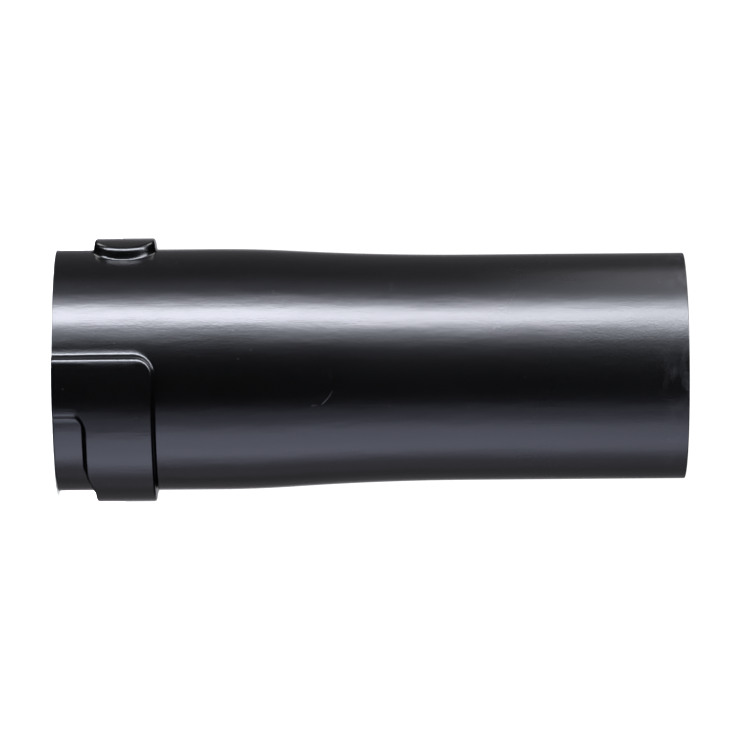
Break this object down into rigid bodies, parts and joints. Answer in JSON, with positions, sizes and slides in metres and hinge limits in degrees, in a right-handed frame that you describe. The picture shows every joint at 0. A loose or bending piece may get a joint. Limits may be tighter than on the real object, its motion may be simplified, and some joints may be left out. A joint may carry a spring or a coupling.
{
  "type": "leaf blower nozzle tube",
  "caption": "Straight round black plastic blower tube with an even wall: a socket end with raised L-shaped bayonet channels, a gentle shoulder and a plain spigot end.",
  "frame": {"origin": "centre of the socket mouth, on the plane that the tube stands on", "axes": "+Z along the bore from the socket mouth to the spigot, -Y through the middle of one bayonet entry"},
  "size_m": [0.0984, 0.0984, 0.234],
  "materials": {
    "black_polyethylene": "satin"
  },
  "bodies": {
    "root": {"nozzle_tube": "black_polyethylene"}
  },
  "joints": []
}
